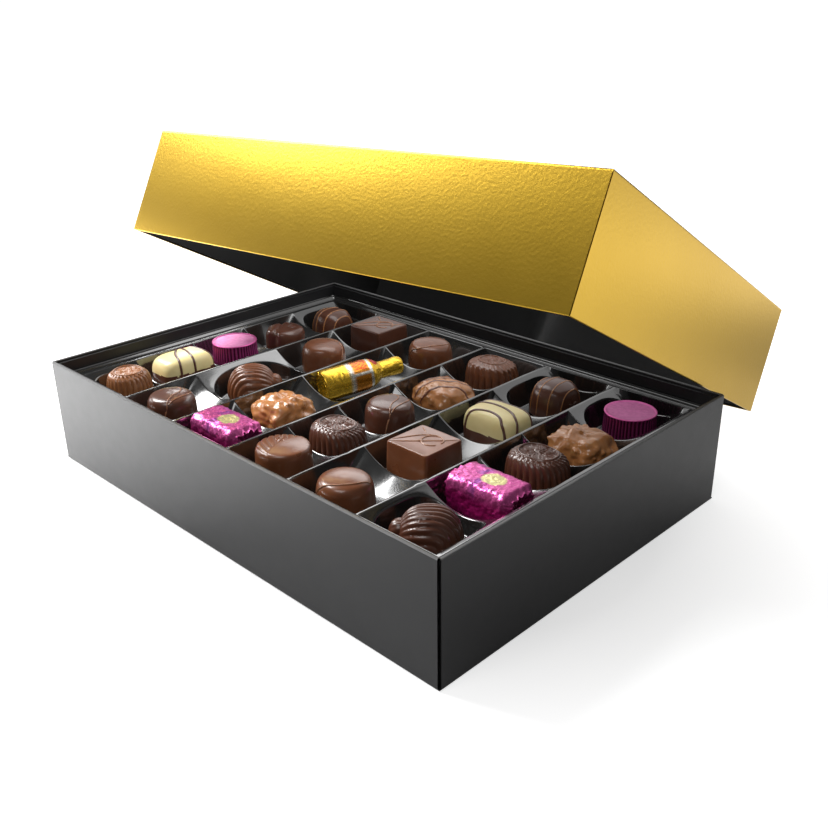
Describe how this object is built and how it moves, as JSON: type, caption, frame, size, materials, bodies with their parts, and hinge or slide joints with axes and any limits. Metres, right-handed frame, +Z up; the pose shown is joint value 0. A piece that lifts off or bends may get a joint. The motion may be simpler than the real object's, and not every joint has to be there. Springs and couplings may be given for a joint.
{
  "type": "box of chocolate pralines",
  "caption": "Open carton box with a pressed tray of filled cells, one praline standing in each, and a lift-off lid that leans on the rim of the base.",
  "frame": {"origin": "centre of the base carton's underside", "axes": "+X along the long side of the base, +Y from the open front to the lid's low side, +Z up"},
  "size_m": [0.3219, 0.3039, 0.1846],
  "materials": {
    "base_board": "satin laminated black board",
    "lid_board": "gold foil laminate with a fine pressed grain",
    "tray_plastic": "glossy thermoformed sheet",
    "milk_chocolate": "satin milk chocolate",
    "dark_chocolate": "satin dark chocolate",
    "cream_chocolate": "satin white chocolate",
    "pink_foil": "coloured confectionery foil",
    "gold_foil": "gold confectionery foil"
  },
  "bodies": {
    "root": {"base_carton": "base_board", "lid_carton": "lid_board", "praline_a1_fluted_round": "milk_chocolate", "praline_a2_cream_bar": "cream_chocolate", "praline_a3_foil_cup": "pink_foil", "praline_a4_heart": "dark_chocolate", "praline_a5_striped_dome": "dark_chocolate", "praline_b1_swirl_round": "dark_chocolate", "praline_b2_shell": "milk_chocolate", "praline_b3_smooth_dome": "milk_chocolate", "praline_b4_square": "dark_chocolate", "praline_c1_foil_block": "pink_foil", "praline_c2_nut_cluster": "milk_chocolate", "praline_c3_foil_bottle": "gold_foil", "praline_c4_smooth_dome": "milk_chocolate", "praline_d1_leaf_drum": "milk_chocolate", "praline_d2_fluted_oval": "dark_chocolate", "praline_d3_swirl_round": "dark_chocolate", "praline_d4_nut_dome": "milk_chocolate", "praline_d5_fluted_oval": "milk_chocolate", "praline_e1_smooth_dome": "milk_chocolate", "praline_e2_square": "milk_chocolate", "praline_e3_cream_bar": "cream_chocolate", "praline_e4_striped_dome": "dark_chocolate", "praline_f1_shell": "dark_chocolate", "praline_f2_foil_block": "pink_foil", "praline_f3_fluted_oval": "dark_chocolate", "praline_f4_nut_cluster": "milk_chocolate", "praline_f5_foil_cup": "pink_foil", "tray": "tray_plastic"}
  },
  "joints": []
}
